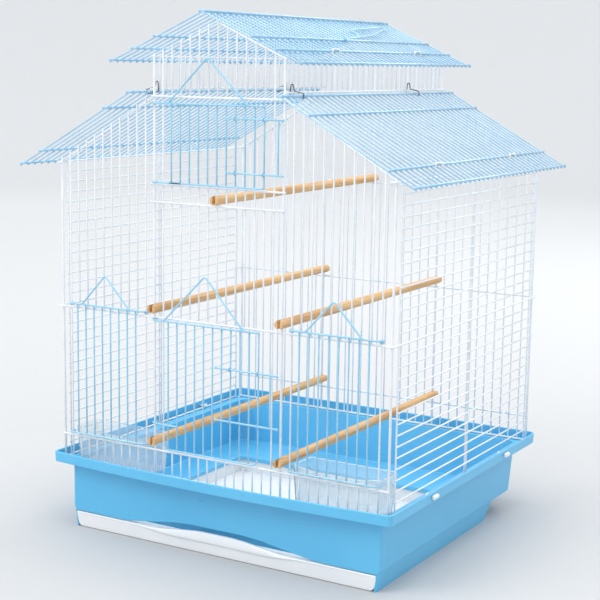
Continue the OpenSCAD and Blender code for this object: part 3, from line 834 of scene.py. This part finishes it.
def tub_back(z):
    """Where the sloping back of the tub is at height z."""
    return TUB_BACK_FOOT + (BACK_Y - TUB_BACK_FOOT) * (z - PLINTH_H) / (TUB_H - PLINTH_H)


def arch_cutter(y0, y1, low=-1.0, grow=0.0):
    """A slab shaped like the drawer's mouth: flat at the ends, raised in the middle."""
    bm = bmesh.new()
    half = MOUTH_X[1]
    xs = [half * (2 * i / ARCH_STEPS - 1) for i in range(ARCH_STEPS + 1)]
    slab(bm, [(MOUTH_X[0], low), (-MOUTH_X[0], low)] + [(x, mouth_z(x) + grow) for x in xs], y0, y1)
    return bm


def tub():
    """The moulding: a lofted bowl with a stepped rim, and the drawer housing under its floor."""
    y0 = FRONT_Y - RIM_OUT
    y1 = BACK_Y + RIM_OUT
    under = TUB_H - RIM_H
    floor = PLINTH_H + WALL
    bow = RIM_BOW
    litter_y0 = BODY_Y0 + POCKET + 5
    # half width, front, back, front and back corner radius, height, bow of the front edge
    profile = [
        (BODY_X, BODY_Y0, tub_back(PLINTH_H), 4, 20, PLINTH_H, 0),
        (BODY_X, BODY_Y0, tub_back(under), 4, 20, under, 0),
        (RIM_X - 0.4, y0 + 0.4, y1 - 0.4, 5, 10, under, bow),
        (RIM_X, y0, y1, 5, 10, TUB_H, bow),
        (RIM_X - WALL, y0 + WALL, y1 - WALL, 3, 8, TUB_H, bow),
        (RIM_X - WALL, y0 + WALL, y1 - WALL, 3, 8, LEDGE_Z, bow),
        (BODY_X - WALL, BODY_Y0 + WALL, tub_back(LEDGE_Z) - WALL, 2.5, 18, LEDGE_Z, 0),
        (BODY_X - WALL, BODY_Y0 + WALL, tub_back(floor) - WALL, 2.5, 18, floor, 0),
        (LITTER_HALF, litter_y0, LITTER_BACK, 4, 6, floor, 0),
        (LITTER_HALF, litter_y0, LITTER_BACK, 4, 6, PLINTH_H, 0),
    ]
    bm = bmesh.new()
    loft(bm, softened(profile, 1.4, True), closed=True, n=12)
    bowl = new_object("tub_bowl", bm, TUB, "cage", ["base_tub"], MOULD_SHARP)

    # the finger pocket's roof, a shallow block behind the front wall
    bm = bmesh.new()
    pocket_y = (BODY_Y0 + 1, litter_y0 + 0.5)
    pocket = [
        (BODY_X - WALL - 3, *pocket_y, 2, 2, PLINTH_H + 0.4),
        (BODY_X - WALL + 0.5, *pocket_y, 2, 2, PLINTH_H + 12.5),
    ]
    loft(bm, softened(pocket, 1.0, False), cap_start=True, cap_end=True)
    shelf = new_object("tub_pocket", bm, TUB, "cage", [], MOULD_SHARP)

    # the collar that hangs round the opening in the floor, and closes the pocket at the back
    bm = bmesh.new()
    opening = (LITTER_HALF + 0.1, litter_y0 - 0.1, LITTER_BACK + 0.1, 4, 6)
    outside = (LITTER_HALF + 2, BODY_Y0 + POCKET + 0.2, LITTER_BACK + 2, 5, 7)
    ends = (MOUTH_SIDE_Z, PLINTH_H + 1)
    collar = [(*outside, ends[1]), (*outside, ends[0]), (*opening, ends[0]), (*opening, ends[1])]
    loft(bm, softened(collar, 0.4, True), closed=True)
    skirt = new_object("tub_floor_collar", bm, TUB, "cage", [], MOULD_SHARP)

    # the housing that the drawer runs in
    bm = bmesh.new()
    back_round, inner_round = 18, 15.5
    housing = [
        (MOUTH_X[1], BODY_Y0 + WALL, HOUSING_BACK[1] - WALL, 1, inner_round, PLINTH_H),
        (HOUSING_X[1], BODY_Y0, HOUSING_BACK[1], 4, back_round, PLINTH_H + 1.4),
        (HOUSING_X[1], BODY_Y0, HOUSING_BACK[1], 4, back_round, PLINTH_H),
        (HOUSING_X[0], BODY_Y0, HOUSING_BACK[0], 3, back_round, 0),
    ]
    inner = [
        (MOUTH_X[0] + 0.6, BODY_Y0 + WALL, HOUSING_BACK[0] - 1.4, 1, inner_round, 2.0),
        (MOUTH_X[1], BODY_Y0 + WALL, HOUSING_BACK[1] - 6.6, 1, inner_round, MOUTH_SIDE_Z),
        (MOUTH_X[1], BODY_Y0 + WALL, HOUSING_BACK[1] - WALL, 1, inner_round, PLINTH_H),
    ]
    rings = loft(bm, housing, cap_end=True, n=12)
    inner_rings = loft(bm, inner, cap_start=True, n=12)
    bmesh.ops.remove_doubles(bm, verts=rings[0] + inner_rings[-1], dist=0.01)
    box = new_object("tub_drawer_housing", bm, TUB, "cage", [], MOULD_SHARP)

    # the shelf's cutter is a little larger than the bowl's, so that no two cut faces coincide
    outside_y = BODY_Y0 - 2
    cut(bowl, arch_cutter(outside_y, BODY_Y0 + POCKET, low=10))
    cut(shelf, arch_cutter(outside_y, BODY_Y0 + POCKET + 0.3, low=10, grow=0.3))
    cut(box, arch_cutter(outside_y, BODY_Y0 + WALL + 6))
    cut_slots(bowl)
    for obj in (bowl, shelf, skirt, box):
        even_shading(obj)


def cut_slots(bowl):
    """Slots through the rim's side walls for the clips' tongues."""
    bm = bmesh.new()
    room = TONGUE_W / 2 + GAP
    for m in (-1, 1):
        for y in CLIP_YS:
            xs = sorted((m * (RIM_X - WALL - 1), m * (RIM_X + 1)))
            low, high = TONGUE_Z[0] - GAP, TONGUE_Z[1] + GAP
            slab(bm, [(xs[0], low), (xs[1], low), (xs[1], high), (xs[0], high)], y - room, y + room)
    cut(bowl, bm)


def drawer_front():
    """The drawer's front: a plain lower face, a crease and a lip that swells along its wavy top."""
    bm = bmesh.new()
    corner = 7.0
    draft = 1.5
    foot = 0.8
    corner_x = DRAWER_HALF - draft - corner

    def low_z(x):
        out = abs(x) - corner_x
        if out <= 0:
            return foot
        if out <= corner:
            return foot + corner - math.sqrt(corner * corner - out * out)
        return foot + corner + (out - corner) / draft * 6

    # slices along the front, closer together where its ends turn up
    xs = [i * 3.5 for i in range(-57, 58)]
    ends = [202, 204, 205.5, 207, 208, 208.7, 209, 209.5, 210, DRAWER_HALF]
    xs = [-x for x in reversed(ends)] + xs + ends
    rings = []
    for x in xs:
        edge = DRAWER_HALF - abs(x)
        top = drawer_z(x)
        low = min(low_z(x), top - 0.5)
        swell = smooth(edge / 12) * (0.25 + 0.75 * smooth((130 - abs(x)) / 70))
        crease = max(crease_z(x), low + 0.1)
        lip = top - crease
        # (y, z) up the lower face to the crease, then round the lip and back
        section = [
            (0.0, low), (-2.3, low), (-2.5, low + 0.1), (-2.8, (low + crease) / 2),
            (-3.1, crease - 0.1), (-3.1, crease),
            (-3.3 - 1.4 * swell, crease + 0.1 * lip), (-3.3 - 2.1 * swell, crease + lip * 0.3),
            (-3.2 - 1.7 * swell, crease + lip * 0.6), (-2.9 - 0.8 * swell, crease + lip * 0.86),
            (-2.6 - 0.2 * swell, top - 0.05), (-2.2, top), (0.0, top)
        ]
        rings.append([bm.verts.new((x, BODY_Y0 + 3 + y, min(z, top))) for y, z in section])
    count = len(rings[0])
    for a, b in zip(rings, rings[1:]):
        for j in range(count):
            k = (j + 1) % count
            bm.faces.new((a[j], a[k], b[k], b[j]))
    bm.faces.new(list(reversed(rings[0])))
    bm.faces.new(rings[-1])
    front = new_object("drawer_front", bm, DRAWER, "drawer", ["litter_drawer"], CUT_SHARP)
    even_shading(front)


def drawer_tray():
    """The tray, on a wider plate that runs between the sides of the housing."""
    bm = bmesh.new()
    half = LITTER_HALF + 3.5
    y0 = BODY_Y0 + 2.5
    y1 = HOUSING_BACK[0] - WALL - 4
    top = MOUTH_SIDE_Z - 0.6
    profile = [
        (half - 0.5, y0, y1 - 0.5, 2, 8, WALL),
        (half, y0, y1, 2, 8, top),
        (half - 2, y0 + 2, y1 - 2, 2, 6, top),
        (half - 2.5, y0 + 2, y1 - 2.5, 2, 6, WALL + 1.8),
    ]
    rings = loft(bm, softened(profile, 0.7, False), cap_start=True, n=10)
    bm.faces.new(rings[-1])
    runner_half = 205
    runner = [(runner_half, y0, y1 - 1, 2, 8, WALL + rise) for rise in (0.1, 1.6)]
    loft(bm, softened(runner, 0.4, False), cap_start=True, cap_end=True)
    even_shading(new_object("drawer_tray", bm, DRAWER, "drawer", [], MOULD_SHARP))


CUP_HALF = 57.2
CUP_Y0 = FRONT_Y + WALL + 4
CUP_Y1 = FRONT_Y + 50
CUP_FLOOR = 82.0
CUP_RIM = 128.0


def feeder_cup(name, node, body, centre):
    """A clear trough: rounded floor, thin walls, a rim that dips in waves and a hanging lip."""
    bm = bmesh.new()
    thick = 1.6
    sag = 4.0
    ripple = 1.2

    def wave(x, z):
        if z < CUP_RIM - 12:
            return 0.0
        dip = sag * math.cos(x / CUP_HALF * math.pi * 0.5)
        return -dip - ripple * (1 - math.cos(x / CUP_HALF * math.pi * 2)) / 2

    profile = [
        (CUP_HALF - 3, CUP_Y0 + 1, CUP_Y1 - 3, 4, 9, CUP_FLOOR),
        (CUP_HALF, CUP_Y0, CUP_Y1, 4, 9, CUP_RIM - 3),
        (CUP_HALF, CUP_Y0, CUP_Y1, 4, 9, CUP_RIM),
        (CUP_HALF - thick, CUP_Y0 + thick, CUP_Y1 - thick, 2.4, 7.4, CUP_RIM),
        (CUP_HALF - thick, CUP_Y0 + thick, CUP_Y1 - thick, 2.4, 7.4, CUP_RIM - 3),
        (CUP_HALF - thick - 3, CUP_Y0 + thick + 1, CUP_Y1 - thick - 3, 2.4, 7.4, CUP_FLOOR + thick),
    ]
    rings = loft(bm, softened(profile, 1.2, False), cap_start=True, n=10, shift=wave)
    bm.faces.new(rings[-1])
    lip_half = 46
    lip_z = LOW_RAIL_Z + RAIL_R + GAP
    lip = [(lip_half, FRONT_Y - 2.8, CUP_Y0 + 0.5, 1.5, 0.5, z) for z in (lip_z, lip_z + 1.4)]
    loft(bm, softened(lip, 0.4, False), cap_start=True, cap_end=True)
    bmesh.ops.translate(bm, vec=(centre, 0, 0), verts=bm.verts)
    new_object(name, bm, CLEAR, body, [node], MOULD_SHARP)


CLIP_YS = (-93.5, 117.0)
TONGUE_Z = (BOTTOM_RAIL_Z + RAIL_R + GAP, BOTTOM_RAIL_Z + RAIL_R + GAP + 2.4)
TONGUE_W = 7.0


def rim_clip(name, node, body, centre_y, left):
    """A push-in clip: a domed knob outside the rim and a tongue with a barb through it."""
    bm = bmesh.new()
    knob = [
        (2.5, -6.8, 6.8, 2.3, 2.3, 0.0), (2.7, -7, 7, 2.5, 2.5, 0.5), (2.7, -7, 7, 2.5, 2.5, 1.9),
        (2.3, -6.6, 6.6, 2.2, 2.2, 3.0), (1.4, -5.6, 5.6, 1.3, 1.3, 3.55),
    ]
    loft(bm, softened(knob, 0.6, False), cap_start=True, cap_end=True)
    height = (TONGUE_Z[0] + TONGUE_Z[1]) / 2
    turn = Matrix.Translation((RIM_X + GAP, centre_y, height)) @ Matrix.Rotation(math.radians(90), 4, "Y")
    bmesh.ops.transform(bm, matrix=turn, verts=bm.verts)
    inner = SIDE_X - 2
    tongue = [
        (RIM_X + GAP + 1, TONGUE_Z[0]), (RIM_X + GAP + 1, TONGUE_Z[1]), (inner + 1.6, TONGUE_Z[1]),
        (inner + 1.6, TONGUE_Z[1] + 1.1), (inner + 0.5, TONGUE_Z[1] + 1.0), (inner, TONGUE_Z[0] + 0.5),
        (inner + 0.4, TONGUE_Z[0])
    ]
    slab(bm, tongue, centre_y - TONGUE_W / 2, centre_y + TONGUE_W / 2)
    if left:
        flip_left(bm)
    new_object(name, bm, CLIP, body, [node], CUT_SHARP)


def build_walls_and_roofs():
    front_panel()
    back_panel()
    side_panel("left_side_wall", "left_side_panel", True)
    side_panel("right_side_wall", "right_side_panel", False)
    attic_wall("left_attic_wires", "left_attic_wall", True)
    attic_wall("right_attic_wires", "right_attic_wall", False)
    for left, word in ((True, "left"), (False, "right")):
        roof_panel("lower_roof_wires_" + word, "lower_roof_" + word, LOW_BARS[0] - 4, LOW_BARS[-1] + ROOF_TIP,
                   low_roof_z, LOW_ROOF_RISE, LOW_BARS, left)
        roof_panel("upper_roof_wires_" + word, "upper_roof_" + word, 0.6, UP_BARS[-1] + ROOF_TIP,
                   up_roof_z, UP_RISE, UP_BARS, left)
    roof_staples()
    roof_rings()
    carry_handle()


def build_fittings():
    bay_door("lower_door_wires", "lower_door", "lower_door",
             z0=122.5, z1=MID_RAIL_Z - RAIL_R - GAP - 1.2, eye0=152, latch_z=LOWER_LATCH_Z,
             foot=(-72.7, 42.3), apex=(-12.5, 334), dx=-2.7, corner=5.5)
    upper_foot = SILL_Z + RAIL_R + GAP + 1.2
    bay_door("upper_door_wires", "upper_door", "upper_door",
             z0=upper_foot, z1=528, eye0=upper_foot, latch_z=UPPER_LATCH_Z,
             foot=(-66, 45.7), apex=(-10, 580), dx=2, corner=1.5)
    bay_latch("lower_latch_wires", "lower_door_latch", "lower_latch",
              LOWER_LATCH_Z, start_x=3, grip_x=77, end_x=86)
    bay_latch("upper_latch_wires", "upper_door_latch", "upper_latch",
              UPPER_LATCH_Z, start_x=16.5, grip_x=84, end_x=89.5)
    bay_middle = (wire_x(0) + wire_x(BAY)) / 2
    for centre, word in ((bay_middle, "left"), (-bay_middle, "right")):
        feeder_door(word + "_feeder_door_wires", word + "_feeder_door", word + "_feeder_door", centre)
        feeder_cup(word + "_cup", word + "_feeder_cup", word + "_cup", centre)
    for end, y in zip(("front", "back"), CLIP_YS):
        for word in ("left", "right"):
            clip = "clip_" + end + "_" + word
            rim_clip(clip + "_knob", clip, clip, y, word == "left")


build_walls_and_roofs()
tub()
drawer_front()
drawer_tray()
build_fittings()

# the perches keep their CAD shape and only get the look of wood
for name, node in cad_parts.items():
    if name.startswith("perch"):
        for slot in node.material_slots:
            slot.material = WOOD

# ---------------------------------------------------------------- studio


def backdrop():
    """A round pale floor that curves up into a low wall, without a horizon."""
    bm = bmesh.new()
    radius, fillet, height = 7.0, 2.0, 3.0
    fillet_steps = 12
    steps = 96
    profile = [(0.5, 0.0), (2.0, 0.0), (radius - fillet, 0.0)]
    for i in range(1, fillet_steps + 1):
        a = math.pi / 2 * i / fillet_steps
        profile.append((radius - fillet + fillet * math.sin(a), fillet - fillet * math.cos(a)))
    profile.append((radius, height))
    rings = []
    for r, z in profile:
        turn = [2 * math.pi * i / steps for i in range(steps)]
        rings.append([bm.verts.new((r * math.cos(a), r * math.sin(a), z)) for a in turn])
    bm.faces.new(rings[0])
    for a, b in zip(rings, rings[1:]):
        for j in range(steps):
            k = (j + 1) % steps
            bm.faces.new((a[j], b[j], b[k], a[k]))
    obj = linked_object("backdrop", bm)
    obj.data.materials.append(pale_surface())


def pale_surface():
    """A pale grey, a little darker where the lamps shine full on the floor, so that it comes out even."""
    material, nodes, links, surface = shader("pale_backdrop")
    surface.inputs["Roughness"].default_value = 0.75
    place = nodes.new("ShaderNodeTexCoord")
    far = nodes.new("ShaderNodeVectorMath")
    far.operation = "LENGTH"
    spread = nodes.new("ShaderNodeMapRange")
    spread.inputs["From Min"].default_value = 0.6
    spread.inputs["From Max"].default_value = 4.0
    tone = nodes.new("ShaderNodeMix")
    tone.data_type = "RGBA"
    tone.inputs["A"].default_value = (0.52, 0.53, 0.54, 1)
    tone.inputs["B"].default_value = (0.80, 0.81, 0.82, 1)
    for a, b in ((place.outputs["Object"], far.inputs[0]), (far.outputs["Value"], spread.inputs["Value"]),
                 (spread.outputs["Result"], tone.inputs["Factor"])):
        links.new(a, b)
    links.new(tone.outputs["Result"], surface.inputs["Base Color"])
    return material


def studio():
    """An even pale world and four soft lamps that point at the middle of the cage."""
    aim = Vector((0, 0, 0.3))
    world = bpy.data.worlds.new("studio")
    bpy.context.scene.world = world
    world.use_nodes = True
    back = world.node_tree.nodes["Background"]
    back.inputs[0].default_value = (0.96, 0.98, 1.0, 1)
    back.inputs[1].default_value = 1.0

    def area(name, place, size, power, colour):
        light = bpy.data.lights.new(name, "AREA")
        light.size = size
        light.energy = power
        light.color = colour
        obj = bpy.data.objects.new(name, light)
        obj.location = place
        obj.rotation_euler = (aim - Vector(place)).to_track_quat("-Z", "Y").to_euler()
        bpy.context.scene.collection.objects.link(obj)

    area("key", (-1.6, -2.2, 2.6), 1.8, 46, (1, 0.98, 0.96))
    area("fill", (2.4, -1.2, 1.8), 2.2, 2, (0.95, 0.98, 1))
    area("rim", (0.6, 2.4, 2.2), 1.8, 30, (1, 1, 1))
    area("top", (0.1, -0.2, 3.2), 2.4, 42, (1, 1, 1))


def camera():
    """Stands to the right of the front, a little above the middle."""
    data = bpy.data.cameras.new("camera")
    data.sensor_width = 36
    data.lens = 84.33
    obj = bpy.data.objects.new("camera", data)
    bpy.context.scene.collection.objects.link(obj)
    obj.location = (0.8844, -1.5035, 0.5745)
    yaw, pitch, roll = (math.radians(v) for v in (30.52, 9.54, 0.87))
    forward = Vector((-math.sin(yaw) * math.cos(pitch), math.cos(yaw) * math.cos(pitch), -math.sin(pitch)))
    right = Vector((math.cos(yaw), math.sin(yaw), 0))
    up = right.cross(forward)
    tilted = right * math.cos(roll) + up * math.sin(roll)
    above = up * math.cos(roll) - right * math.sin(roll)
    obj.rotation_mode = "QUATERNION"
    obj.rotation_quaternion = Matrix((tilted, above, -forward)).transposed().to_quaternion()
    bpy.context.scene.camera = obj


backdrop()
studio()
camera()
bpy.context.scene.view_settings.view_transform = "Standard"
